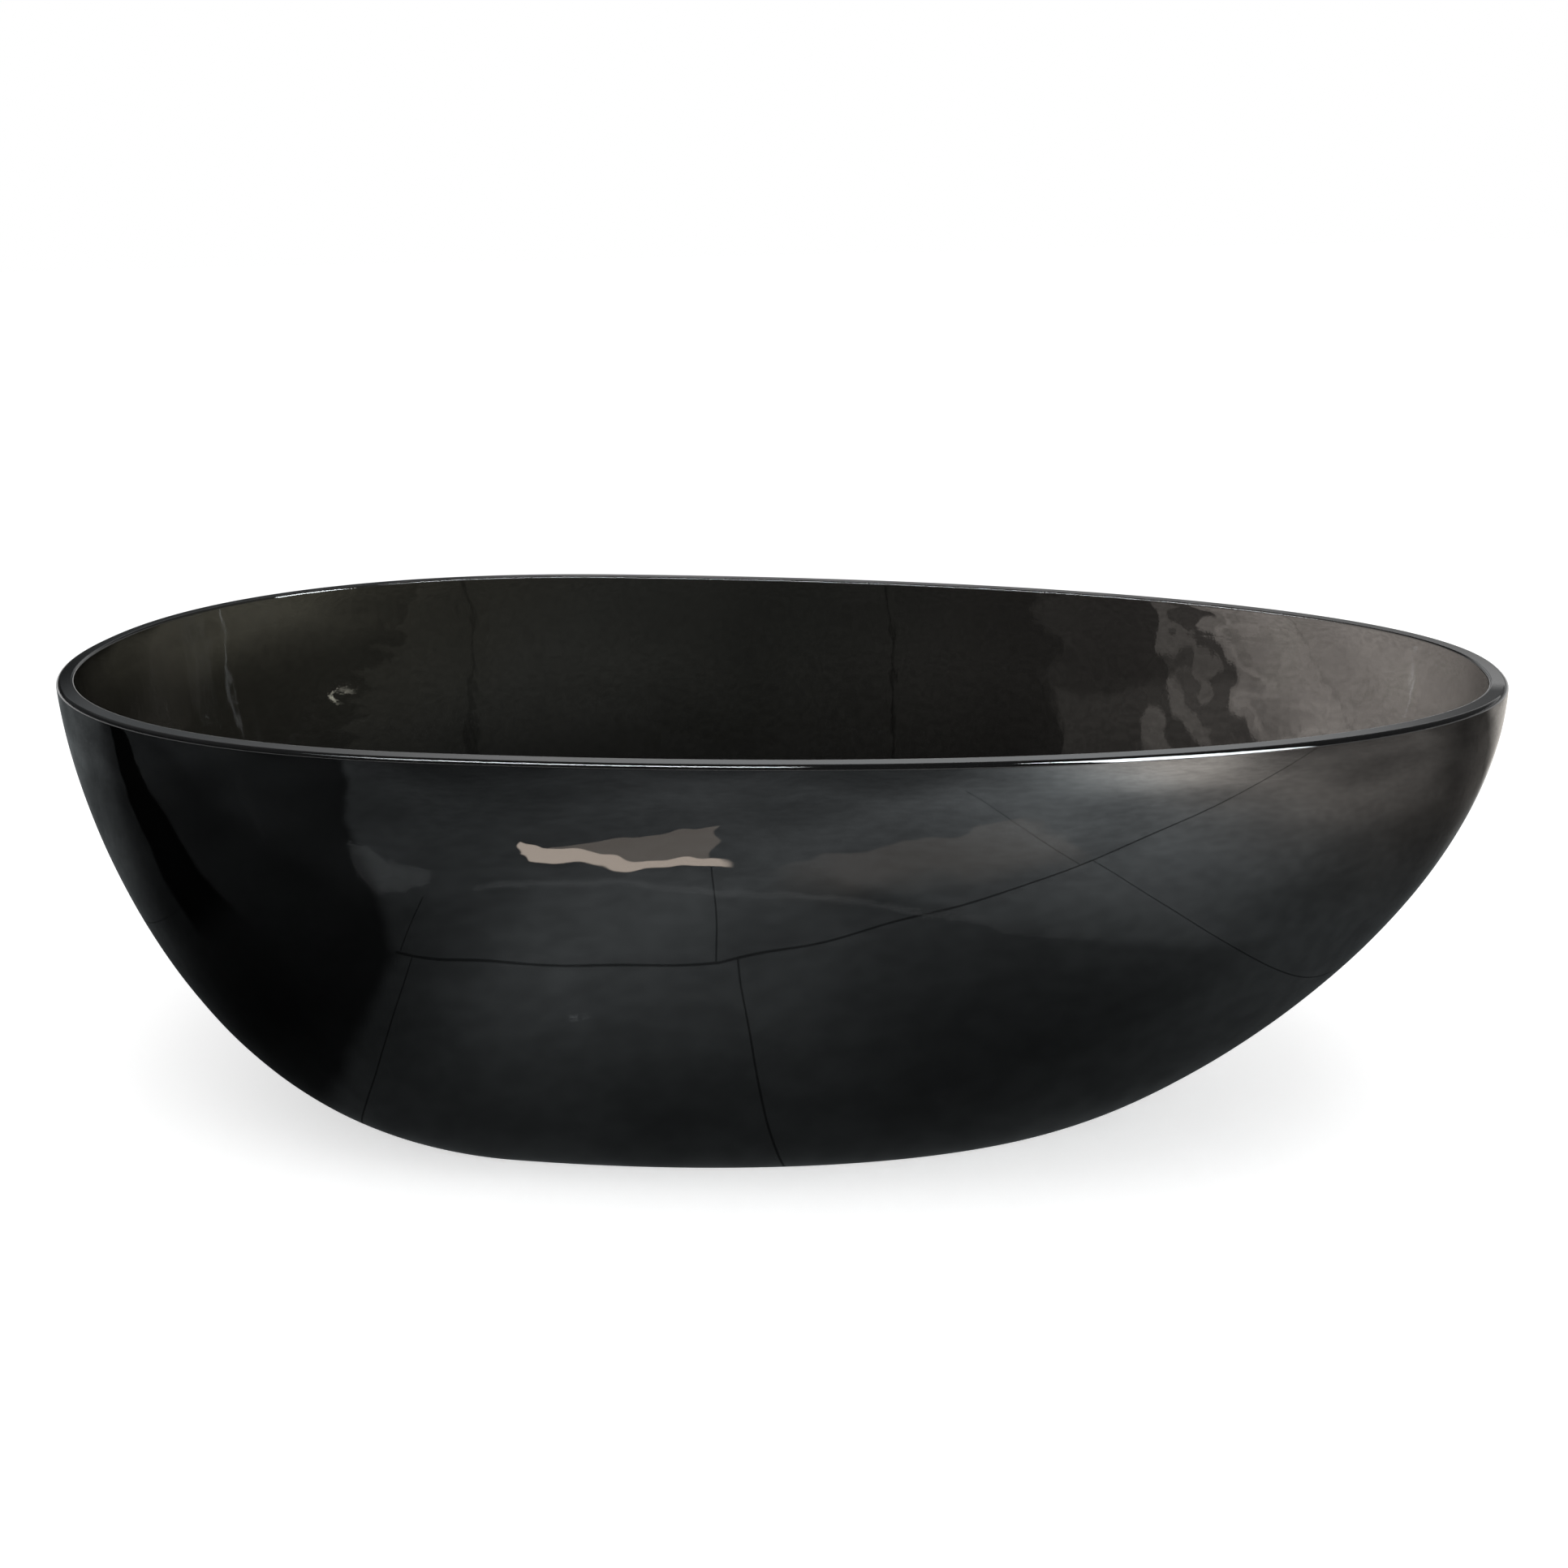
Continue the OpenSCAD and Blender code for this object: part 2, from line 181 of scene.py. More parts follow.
def makeRipple(wave, seed):    # a sum of waves in all directions
    draw = np.random.default_rng(seed)
    way = unit(draw.normal(size=(ripple["waves"], 3)))
    length = draw.uniform(*wave, ripple["waves"])
    phase = draw.uniform(0, tau, ripple["waves"])

    def height(points):
        total = np.zeros(points.shape[:-1])
        for w, l, p in zip(way, length, phase):
            total += np.sin(points @ w * tau / l + p)
        return total / math.sqrt(ripple["waves"] / 2)
    return height


outerRipple = makeRipple(ripple["outerWave"], ripple["seed"])
innerRipple = makeRipple(ripple["innerWave"], ripple["seed"] + 1)


def fadeEnds(z):
    up = np.clip(z / ripple["fade"], 0, 1)
    down = np.clip((shell["height"] - z) / ripple["fade"], 0, 1)
    return up * up * (3 - 2 * up) * down * down * (3 - 2 * down)


def waved(points, normals, wave, depth):
    return points + normals * (wave(points) * fadeEnds(points[:, 2]) * depth)[:, None]


def circle(a, r, z):
    return np.stack([r * np.cos(a), r * np.sin(a), np.full_like(a, z)], -1)


def undersideRows(a):    # from the hole for the waste to the ring it stands on
    k = shell
    rows = [circle(a, k["holeRadius"] + out, k["roofHeight"]) for out in (0, grid["roofMargin"])]

    def hollow(inset, z):
        w = k["ringWidth"] + inset
        xy = outline(k["baseFoot"] - w, k["baseHead"] - w, k["baseWidth"] / 2 - w, 2, a)
        return np.concatenate([xy, np.full((len(a), 1), z)], -1)

    for s in np.linspace(1, 0, grid["edgeRows"] + 1):
        turn = s * math.pi / 2
        rows.append(hollow(k["hollowDraft"] + k["hollowRound"] * (1 - math.cos(turn)),
                           k["roofHeight"] - k["hollowRound"] * (1 - math.sin(turn))))
    rows.append(hollow(0, 0))
    return rows


def outerRows(a, tRim):
    shares = [*np.linspace(0, 1, grid["wallRows"] + 1)[:-1], 1 - grid["hold"] / grid["wallRows"]]
    return [waved(outerAt(a, tRim * s), normalAt(a, tRim * s), outerRipple, ripple["outerDepth"]) for s in shares]


def rimRows(a, tOut, tIn):    # outer round, flat and inner round
    k = shell
    nOut, nIn = normalAt(a, tOut), normalAt(a, tIn)
    shares = np.linspace(0, 1, grid["edgeRows"] + 1)
    centre = outerAt(a, tOut) - k["rimOuterRound"] * nOut
    outerEdge = [edgePoint(centre, nOut, np.arcsin(nOut[:, 2]), k["rimOuterRound"], s) for s in shares]
    centre = innerAt(a, tIn) + k["rimInnerRound"] * nIn
    innerEdge = [edgePoint(centre, -nIn, -np.arcsin(nIn[:, 2]), k["rimInnerRound"], s) for s in 1 - shares]
    across = innerEdge[0] - outerEdge[-1]
    flat = [outerEdge[-1] + across * s for s in (grid["hold"], 1 - grid["hold"])]
    return outerEdge + flat, innerEdge


def coveStart(a, z):    # t at which the inner wall is at that height
    low, high = np.full_like(a, grid["coveFrom"]), np.ones_like(a)
    for _ in range(grid["halvings"]):
        mid = (low + high) / 2
        above = innerAt(a, mid)[:, 2] > z
        low, high = np.where(above, low, mid), np.where(above, mid, high)
    return (low + high) / 2


def innerRows(a, tIn, tCove):
    shares = [grid["hold"] / grid["innerRows"], *np.linspace(0, 1, grid["innerRows"] + 1)[1:]]
    places = [tIn + (tCove - tIn) * s for s in shares]
    return [waved(innerAt(a, t), -normalAt(a, t), innerRipple, ripple["innerDepth"]) for t in places]


def floorRows(a, tCove, edgeHeight):    # cove, sloping floor, dish and recess
    k = shell
    top = innerAt(a, tCove)
    down = unit(top - innerAt(a, tCove + grid["coveStep"]))
    reach = (top[:, 2] - edgeHeight) / -down[:, 2]
    corner = top + down * reach[:, None]
    end = corner + unit(down * [1, 1, 0]) * reach[:, None]
    nCove = normalAt(a, tCove)
    rows = []
    for s in np.linspace(0, 1, grid["coveRows"] + 1)[1:]:
        p = top * (1 - s) ** 2 + corner * 2 * s * (1 - s) + end * s * s
        rows.append(waved(p, -nCove, innerRipple, ripple["innerDepth"] * (1 - s) ** 2))
    dish = circle(a, k["dishRadius"], k["floorHeight"])
    rows += [end * (1 - s) + dish * s for s in np.linspace(0, 1, grid["floorRows"] + 1)[1:]]
    rows += [circle(a, k["recessRadius"] + k["recessRound"], k["floorHeight"]),
             circle(a, k["recessRadius"], k["floorHeight"] - k["recessRound"]),
             circle(a, k["recessRadius"], k["seatHeight"]),
             circle(a, k["holeRadius"], k["seatHeight"])]
    return rows


def makeTubShell():
    k = shell
    a = np.arange(grid["columns"]) * tau / grid["columns"]
    rise = normalAt(a, np.ones_like(a))[:, 2]
    tOut = nearRim(k["height"] - k["rimOuterRound"] * (1 - rise))
    tIn = nearRim(k["height"] - k["rimInnerRound"] + (k["wall"] - k["rimInnerRound"]) * rise)
    edgeHeight = k["floorHeight"] + k["floorFall"]
    tCove = coveStart(a, edgeHeight + k["coveHeight"])
    rim, innerEdge = rimRows(a, tOut, tIn)
    outside = undersideRows(a) + outerRows(a, tOut) + rim
    rows = outside + innerEdge + innerRows(a, tIn, tCove) + floorRows(a, tCove, edgeHeight)
    points, faces = closedMesh(rows)
    points[:, 0] += wasteX
    obj = makeObject("tubShell", points, faces)
    inside = np.clip((k["height"] - points[:, 2]) / k["insideDepth"], 0, 1)    # 0 at the rim and outside
    inside[:len(outside) * grid["columns"]] = 0
    obj.data.attributes.new("inside", "FLOAT", "POINT").data.foreach_set("value", inside)
    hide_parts("tub_shell")
    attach(obj, "tub")
    return obj


tubShell = makeTubShell()
print("shell made:", len(tubShell.data.polygons), "faces")


# materials
def newMaterial(name):
    mat = bpy.data.materials.new(name)
    mat.use_nodes = True
    tree = mat.node_tree
    return mat, tree, tree.nodes["Principled BSDF"], tree.nodes["Material Output"]


def addNode(tree, kind, inputs=None, **settings):
    node = tree.nodes.new("ShaderNode" + kind)
    for key, value in settings.items():
        setattr(node, key, value)
    for key, value in (inputs or {}).items():
        if isinstance(value, bpy.types.NodeSocket):
            tree.links.new(value, node.inputs[key])
        else:
            node.inputs[key].default_value = value
    return node


def maths(tree, operation, a, b=0.0):
    return addNode(tree, "Math", {0: a, 1: b}, operation=operation).outputs[0]


def chained(tree, operation, values):
    total = values[0]
    for value in values[1:]:
        total = maths(tree, operation, total, value)
    return total


def add(tree, *values):
    return chained(tree, "ADD", values)


def minus(tree, first, second):
    return maths(tree, "SUBTRACT", first, second)


def times(tree, *values):
    return chained(tree, "MULTIPLY", values)


def most(tree, *values):
    return chained(tree, "MAXIMUM", values)


def ramp(tree, value, low, high, lowTo=0.0, highTo=1.0):    # from lowTo, at low, smoothly to highTo, at high
    node = addNode(tree, "MapRange", {"Value": value, "From Min": low, "From Max": high,
                                      "To Min": lowTo, "To Max": highTo}, interpolation_type="SMOOTHSTEP")
    return node.outputs["Result"]


def within(tree, value, low, high, soft):
    rises = ramp(tree, value, low - soft, low + soft)
    return times(tree, rises, ramp(tree, value, high - soft, high + soft, 1, 0))


def scaled(tree, place, factors):
    return addNode(tree, "VectorMath", {0: place, 1: factors}, operation="MULTIPLY").outputs[0]


def split(tree, place):
    return addNode(tree, "SeparateXYZ", {0: place}).outputs


def noise(tree, place, factors, detail):
    return addNode(tree, "TexNoise", {"Vector": scaled(tree, place, factors), "Scale": 1.0, "Detail": detail})


def clouds(tree, place, factors, detail=2.0):    # soft noise, 0 to 1
    return noise(tree, place, factors, detail).outputs["Fac"]


def relief(tree, height, depth, below=None):
    inputs = {"Height": height, "Distance": depth}
    if below:
        inputs["Normal"] = below
    return addNode(tree, "Bump", inputs).outputs[0]


resin = {
    "passed": (0.0127, 0.0126, 0.0123),    # light left after the wall's 20 mm
    "shade": 0.09, "clear": 0.992,         # what its skin lets through, and its depth takes the rest
    "footShade": 0.02, "deepens": (0.20, 0.46),    # the skin darkens down to the foot, between these heights
    "castScale": 6.0, "castSpan": (0.35, 0.65), "castShare": 0.12,    # how unevenly the colour sits in it
    "density": 120.0,
    "ior": 1.48,
    "roughness": 0.008,
    "smudge": 0.02, "smudgeScale": 9.0, "smudgeDetail": 4.0, "smudgeSpan": (0.45, 0.75),
    "innerHaze": 0.008,    # the inner side is polished less finely, and only it has the next two
    "grainScale": 330.0, "grainDepth": 0.00003,
    "sagScale": (22.0, 22.0, 11.0), "sagDepth": 0.0010,    # where the resin ran and set unevenly
}


def makeResin():
    look = resin
    mat, tree, bsdf, out = newMaterial("smokedResin")
    bsdf.inputs["Transmission Weight"].default_value = look["clear"]
    bsdf.inputs["IOR"].default_value = look["ior"]
    place = addNode(tree, "TexCoord").outputs["Object"]
    inside = addNode(tree, "Attribute", attribute_name="inside").outputs["Fac"]

    tint = ramp(tree, split(tree, place)["Z"], *look["deepens"], look["footShade"], look["shade"])
    cast = ramp(tree, clouds(tree, place, [look["castScale"]] * 3), *look["castSpan"], 1 - look["castShare"], 1)
    tree.links.new(times(tree, tint, cast), bsdf.inputs["Base Color"])

    smudge = clouds(tree, place, [look["smudgeScale"]] * 3, look["smudgeDetail"])
    rough = ramp(tree, smudge, *look["smudgeSpan"], look["roughness"], look["roughness"] + look["smudge"])
    rough = add(tree, rough, times(tree, inside, look["innerHaze"]))
    tree.links.new(rough, bsdf.inputs["Roughness"])

    sag = times(tree, clouds(tree, place, look["sagScale"]), inside)
    grain = times(tree, clouds(tree, place, [look["grainScale"]] * 3), inside)
    surface = relief(tree, grain, look["grainDepth"], relief(tree, sag, look["sagDepth"]))
    tree.links.new(surface, bsdf.inputs["Normal"])

    skin = look["shade"] * look["clear"] ** 2
    left = [1 + math.log(p / skin) / (shell["wall"] * look["density"]) for p in look["passed"]]
    absorb = addNode(tree, "VolumeAbsorption", {"Color": (*left, 1), "Density": look["density"]})
    tree.links.new(absorb.outputs[0], out.inputs["Volume"])
    return mat


tubShell.data.materials.append(makeResin())


# finishes of the waste: two shades clouded together, roughness, and the marks of making
finishes = {
    "chrome_plate": {"shades": ((0.58, 0.59, 0.61), (0.50, 0.51, 0.53)), "metal": 1, "rough": (0.035, 0.10),
                     "cloud": 70, "marks": (900, 900, 900), "depth": 0.000002},
    "raw_brass": {"shades": ((0.70, 0.49, 0.22), (0.56, 0.38, 0.17)), "metal": 1, "rough": (0.20, 0.40),
                  "cloud": 130, "marks": (40, 40, 3200), "depth": 0.00001},    # turned
    "black_rubber": {"shades": ((0.018, 0.018, 0.018), (0.034, 0.033, 0.032)), "metal": 0, "rough": (0.48, 0.70),
                     "cloud": 160, "marks": (1800, 1800, 1800), "depth": 0.00002},
    "nylon": {"shades": ((0.70, 0.69, 0.62), (0.62, 0.61, 0.54)), "metal": 0, "rough": (0.36, 0.50),
              "cloud": 110, "marks": (700, 700, 700), "depth": 0.00001},
    "acetal": {"shades": ((0.80, 0.80, 0.76), (0.72, 0.72, 0.68)), "metal": 0, "rough": (0.28, 0.42),
               "cloud": 140, "marks": (900, 900, 900), "depth": 0.000006},
    "spring_steel": {"shades": ((0.50, 0.50, 0.51), (0.40, 0.40, 0.42)), "metal": 1, "rough": (0.18, 0.34),
                     "cloud": 260, "marks": (2500, 2500, 600), "depth": 0.000005},
}
finishNoise = {
    "cloudDetail": 4.0, "cloudSpan": (0.35, 0.65),
    "wearScale": 2.3, "wearDetail": 5.0, "wearSpan": (0.3, 0.7),    # its scale is a multiple of the clouds'
    "marksDetail": 3.0,
}


def blend(tree, factor, first, second):
    return addNode(tree, "Mix", {"Factor": factor, 6: (*first, 1), 7: (*second, 1)}, data_type="RGBA").outputs[2]


def makeFinish(slot):
    look, grain = finishes[slot], finishNoise
    mat, tree, bsdf, _ = newMaterial(slot)
    place = addNode(tree, "TexCoord").outputs["Object"]
    cloud = clouds(tree, place, [look["cloud"]] * 3, grain["cloudDetail"])
    shade = blend(tree, ramp(tree, cloud, *grain["cloudSpan"]), *look["shades"])
    tree.links.new(shade, bsdf.inputs["Base Color"])
    bsdf.inputs["Metallic"].default_value = look["metal"]
    wear = clouds(tree, place, [look["cloud"] * grain["wearScale"]] * 3, grain["wearDetail"])
    tree.links.new(ramp(tree, wear, *grain["wearSpan"], *look["rough"]), bsdf.inputs["Roughness"])
    marks = clouds(tree, place, look["marks"], grain["marksDetail"])
    tree.links.new(relief(tree, marks, look["depth"]), bsdf.inputs["Normal"])
    return mat


finishOf = {slot: makeFinish(slot) for slot in finishes}
for part in record["subparts"]:
    node = frame["nodes"][part["node"]]
    if part["material_slot"] in finishOf:
        node.data.materials.clear()
        node.data.materials.append(finishOf[part["material_slot"]])
print("finishes made:", len(finishOf) + 1)


# floor, world and lamp
studio = {
    "floorSize": 80, "floorColour": 0.8,
    "lift": 0.60,       # what the floor gives off of itself
    "world": 0.55,      # light from all round
    "backdrop": 1.0,    # what the world looks like
}


def seenDirectly(tree):    # by the camera, in a reflection or through the resin
    path = addNode(tree, "LightPath")
    mirrored = most(tree, path.outputs["Is Glossy Ray"], path.outputs["Is Transmission Ray"])
    return most(tree, path.outputs["Is Camera Ray"], mirrored)


def flatPiece(name, low, high, z):
    corners = [(low[0], low[1], z), (high[0], low[1], z), (high[0], high[1], z), (low[0], high[1], z)]
    return makeObject(name, corners, [(0, 1, 2, 3)])


def glowingMaterial(name, obj):    # its light is found only by the rays that meet it
    mat, tree, bsdf, out = newMaterial(name)
    tree.nodes.remove(bsdf)
    mat.cycles.emission_sampling = "NONE"
    obj.data.materials.append(mat)
    return tree, out.inputs["Surface"]


def makeFloor():
    half = studio["floorSize"] / 2
    floor = flatPiece("floor", (-half, -half), (half, half), 0)
    tree, surface = glowingMaterial("paleFloor", floor)
    diffuse = addNode(tree, "BsdfDiffuse", {"Color": (*[studio["floorColour"]] * 3, 1)})
    lift = addNode(tree, "Emission", {"Strength": times(tree, seenDirectly(tree), studio["lift"])})
    both = addNode(tree, "AddShader", {0: diffuse.outputs[0], 1: lift.outputs[0]})
    tree.links.new(both.outputs[0], surface)


def makeWorld():
    world = bpy.data.worlds.new("studio")
    world.use_nodes = True
    scene.world = world
    tree = world.node_tree
    level = addNode(tree, "MapRange", {"Value": seenDirectly(tree), "To Min": studio["world"],
                                       "To Max": studio["backdrop"]})
    tree.links.new(level.outputs["Result"], tree.nodes["Background"].inputs["Strength"])
    tree.nodes["Background"].inputs["Color"].default_value = (1, 1, 1, 1)


makeFloor()
makeWorld()

softbox = {"size": (2.6, 1.8), "place": (0.3, -0.5, 2.9), "power": 45.0}


def makeSoftbox():
    lamp = bpy.data.lights.new("softbox", "AREA")
    lamp.shape = "RECTANGLE"
    lamp.size, lamp.size_y = softbox["size"]
    lamp.energy = softbox["power"]
    obj = bpy.data.objects.new("softbox", lamp)
    obj.location = softbox["place"]
    obj.visible_camera = obj.visible_glossy = obj.visible_transmission = False
    scene.collection.objects.link(obj)


makeSoftbox()


# cards round the tub that glow, though they are no lamps: painted reflections that only its polish shows, and
# painted light behind the wall that only its depth shows
def makeCard(name, low, high, z, glossy, paint):
    card = flatPiece(name, low, high, z)
    card.visible_camera = card.visible_diffuse = card.visible_shadow = False
    card.visible_glossy, card.visible_transmission = glossy, not glossy
    tree, surface = glowingMaterial(name, card)
    cover, colour, strength = paint(tree, addNode(tree, "TexCoord").outputs["Object"])
    glow = addNode(tree, "Emission", {"Color": colour, "Strength": strength})
    clear = addNode(tree, "BsdfTransparent")
    mix = addNode(tree, "MixShader", {0: cover, 1: clear.outputs[0], 2: glow.outputs[0]})
    tree.links.new(mix.outputs[0], surface)


def warped(tree, place, factors, amount, detail=1.0):    # the same place, pushed about by noise
    colour = noise(tree, place, factors, detail).outputs["Color"]
    shift = addNode(tree, "VectorMath", {0: colour, 1: (0.5, 0.5, 0.5)}, operation="SUBTRACT")
    push = scaled(tree, shift.outputs[0], (amount, amount, 0))
    return addNode(tree, "VectorMath", {0: place, 1: push}, operation="ADD").outputs[0]


def distance(tree, place, middle, reach):    # in reaches
    x, y, _ = split(tree, place)
    dx = maths(tree, "DIVIDE", minus(tree, x, middle[0]), reach[0])
    dy = maths(tree, "DIVIDE", minus(tree, y, middle[1]), reach[1])
    return maths(tree, "SQRT", add(tree, times(tree, dx, dx), times(tree, dy, dy)))


paintedWindow = {    # a painted window of light to the right in front, seen as a painted highlight in the rim's round and as painted glare on the mirrored floor
    "from": (0.21, -0.01), "bearing": (30.0, 56.0), "reach": (1.5, 1.55), "strength": 34.0,
}


def bearing(tree, place):    # degrees from straight in front towards the right
    x, y, _ = split(tree, place)
    side = minus(tree, x, paintedWindow["from"][0])
    ahead = minus(tree, paintedWindow["from"][1], y)
    return times(tree, maths(tree, "ARCTAN2", side, ahead), 180 / math.pi)


def rest(tree, share):    # what a share leaves of 1
    return minus(tree, 1.0, share)


# In these looks a ramp is from, to, the value before and the value after, and a band is from, to and how soft it is.
# Where x and y are of the warped place, plainX and plainY are of the true one.
mirroredFloor = {    # a painted reflection of a floor, which only the polish shows, as shares of a white one
    "warp": ((2.6, 2.6, 1), 0.16, 3.0),
    "mottle": ((1.7, 1.7, 1), 8.0), "mottleRamp": (0.3, 0.7, 0.74, 1.26),    # as stone tiles are
    "fine": ((22, 22, 1), 6.0), "fineRamp": (0.3, 0.7, 0.90, 1.10),
    "cool": (0.92, 1.0, 1.03), "warm": (1.06, 1.0, 0.93), "warmRamp": (0.9, 1.6),
    "edge": {"middle": (-0.2, -0.9), "reach": (5.6, 4.4)}, "edgeRamp": (0.65, 1.0, 1, 0),
}
mirroredLightAndShade = {    # its painted broad light and shade
    # a painted shadow round the tub, and a painted paler patch in front of it
    "tub": {"middle": (-0.05, 0.0), "reach": (0.50, 0.255)}, "tubRamp": (0.9, 4.3, 0.10, 0.86),
    "patch": {"middle": (-0.20, -0.72), "reach": (0.24, 0.42)}, "patchRamp": (0.2, 1.2, 1.55, 1),
    # a slanting shadow to the right of that
    "shadeAt": (0.12, -1.14), "shadeLean": 0.903, "shadeRamp": (-0.06, 0.02, -0.40, 0),
    "shadeStart": (0.05, 0.35), "shadeEnd": (-0.36, -0.20, 1, 0),
    # dimmer towards the foot end, with an edge at the middle distance and a dark corner
    "footDim": (-0.70, -0.20, 0.46, 1),
    "middleDim": (-0.50, -0.22, 0.60, 1.12), "middleBand": (-0.95, -0.40, 0.12),
    "cornerAt": -0.75, "cornerReach": 0.05, "cornerLean": 0.7, "cornerRamp": (-0.62, -0.56),
    "cornerDim": (-0.28, 0.0, 0.28, 0.8),
    # paler far to the left, and dimmer far in front
    "wing": (-2.1, -1.8, 1.35, 1),
    "beyondDim": (-2.2, -1.6, -0.4, 0), "beyondEnd": (0.5, 0.9, 1, 0),
    # painted shade from the tub's front edge to behind it, but less so at the left, and not far behind
    "front": (-0.60, 0.25, 1, 0.22), "leftFront": (-0.60, -0.35, 1, 0.42), "left": (-0.75, -0.55, 1, 0),
    "back": (0.6, 1.2), "backStart": (-1.3, -0.9),
    # a dark band beyond the foot end
    "band": (-0.54, -0.30, 0.015), "bandDim": (-1.15, -0.95, -0.93, 0),
}
mirroredHighlights = {    # painted highlights mirrored in it
    "sheen": {"middle": (1.30, -1.30), "reach": (0.95, 0.75)}, "sheenRamp": (0.1, 1.25, 1.15, 0),
    "core": {"middle": (1.52, -1.82), "reach": (0.50, 0.50)}, "coreRamp": (0.0, 1.6, 5.2, 0),
    "glareSoft": 2.0, "glareRamp": (-2.3, -1.9, 7.0, 0),    # painted glare under the painted window
}
floorJoints = {    # joints of the painted floor reflection: one long one along the tub, and short ones across it
    "rowAt": -0.70, "rowLean": 0.27, "rowStart": -0.56, "rowWidth": 0.0085,
    "across": ((-1.22, -0.35), (-0.55, -0.92), (-0.005, -1.12), (0.745, -1.65)),    # place and near end of each
    "width": 0.0030, "lean": 0.08, "step": 0.034,    # they step sideways at the row
    "depth": -0.62,
}


def paintMirroredLightAndShade(tree, bent, place):
    look = mirroredLightAndShade
    x, y, _ = split(tree, bent)
    plainX, plainY, _ = split(tree, place)
    # the painted shadow round the tub
    light = ramp(tree, distance(tree, place, **look["tub"]), *look["tubRamp"])
    patch = ramp(tree, distance(tree, bent, **look["patch"]), *look["patchRamp"])

    across, along = look["shadeAt"]
    lit = minus(tree, minus(tree, plainX, across), times(tree, add(tree, plainY, -along), look["shadeLean"]))
    shade = times(tree, ramp(tree, lit, *look["shadeRamp"]), ramp(tree, plainX, *look["shadeStart"]))
    shade = add(tree, 1.0, times(tree, shade, ramp(tree, plainY, *look["shadeEnd"])))

    dim = ramp(tree, x, *look["footDim"])
    middle = minus(tree, ramp(tree, x, *look["middleDim"]), 1.0)
    dim = times(tree, dim, add(tree, 1.0, times(tree, middle, within(tree, y, *look["middleBand"]))))

    bend = maths(tree, "MINIMUM", add(tree, y, -look["cornerAt"]), look["cornerReach"])
    corner = ramp(tree, minus(tree, x, times(tree, bend, look["cornerLean"])), *look["cornerRamp"])
    corner = add(tree, corner, times(tree, rest(tree, corner), ramp(tree, y, *look["cornerDim"])))

    wing = ramp(tree, x, *look["wing"])
    beyond = times(tree, ramp(tree, y, *look["beyondDim"]), ramp(tree, x, *look["beyondEnd"]))
    left = ramp(tree, x, *look["left"])
    front = add(tree, times(tree, left, ramp(tree, y, *look["leftFront"])),
                times(tree, rest(tree, left), ramp(tree, y, *look["front"])))
    front = most(tree, front, times(tree, ramp(tree, y, *look["back"]), ramp(tree, x, *look["backStart"])))
    band = times(tree, within(tree, y, *look["band"]), ramp(tree, x, *look["bandDim"]))
    return times(tree, light, patch, shade, dim, corner, wing, add(tree, 1.0, beyond), front, add(tree, 1.0, band))


def paintMirroredHighlights(tree, bent, place):
    look = mirroredHighlights
    sheen = ramp(tree, distance(tree, bent, **look["sheen"]), *look["sheenRamp"])
    core = ramp(tree, distance(tree, bent, **look["core"]), *look["coreRamp"])
    window = within(tree, bearing(tree, place), *paintedWindow["bearing"], look["glareSoft"])
    return sheen, core, times(tree, window, ramp(tree, split(tree, bent)["Y"], *look["glareRamp"]))


def paintJoints(tree, place):
    look = floorJoints
    x, y, _ = split(tree, place)
    slope = add(tree, y, times(tree, most(tree, x, 0.0), look["rowLean"]))
    half, rowHalf = look["width"] / 2, look["rowWidth"] / 2
    lines = times(tree, within(tree, slope, look["rowAt"] - rowHalf, look["rowAt"] + rowHalf, rowHalf / 3),
                  maths(tree, "GREATER_THAN", x, look["rowStart"]))
    column = minus(tree, x, times(tree, add(tree, y, -look["rowAt"]), look["lean"]))
    column = minus(tree, column, times(tree, maths(tree, "GREATER_THAN", slope, look["rowAt"]), look["step"]))
    for at, end in look["across"]:
        line = times(tree, within(tree, column, at - half, at + half, half / 2),
                     maths(tree, "GREATER_THAN", y, end))
        lines = most(tree, lines, line)
    return add(tree, 1.0, times(tree, lines, look["depth"]))


# paints the reflection of a floor, which only the polish shows
def paintFloorReflection(tree, place):
    look = mirroredFloor
    bent = warped(tree, place, *look["warp"])
    light = add(tree, paintMirroredLightAndShade(tree, bent, place), *paintMirroredHighlights(tree, bent, place))
    mottle = ramp(tree, clouds(tree, place, *look["mottle"]), *look["mottleRamp"])
    fine = ramp(tree, clouds(tree, place, *look["fine"]), *look["fineRamp"])
    light = times(tree, times(tree, light, mottle, fine), paintJoints(tree, place))
    warmth = ramp(tree, split(tree, bent)["X"], *look["warmRamp"])
    cover = ramp(tree, distance(tree, place, **look["edge"]), *look["edgeRamp"])
    return cover, blend(tree, warmth, look["cool"], look["warm"]), light


mirroredWarmThing = {    # a painted reflection of a warm thing in front, which only the polish shows: a bright strip, a dull patch and a faint trail
    "warp": ((9.0, 5.0, 1.0), 0.13), "colour": (1.0, 0.86, 0.74, 1), "strength": 8.0,
    "stripSides": (-0.45, 0.0, 0.003), "stripBack": (-2, -1.115, 0.004), "stripFront": (-1.169, -1.161),
    "stripBend": (-0.40, 0.9), "stripThins": (-0.36, -0.29, -0.05, 0.0),
    "patchSides": (-0.38, -0.02, 0.003), "patchBack": (-1.144, -1.136, 1, 0), "patchFront": (-1.386, -1.378),
    "patchLean": 0.41, "patchShare": 0.20,
    "trailStart": (0.02, 0.30), "trailEnd": (0.74, 0.78, 1, 0), "trailFront": (-1.085, -1.065),
    "trailBack": (-1.04, -0.86, 1, 0), "trailLean": 0.3, "trailShare": 0.075,
}


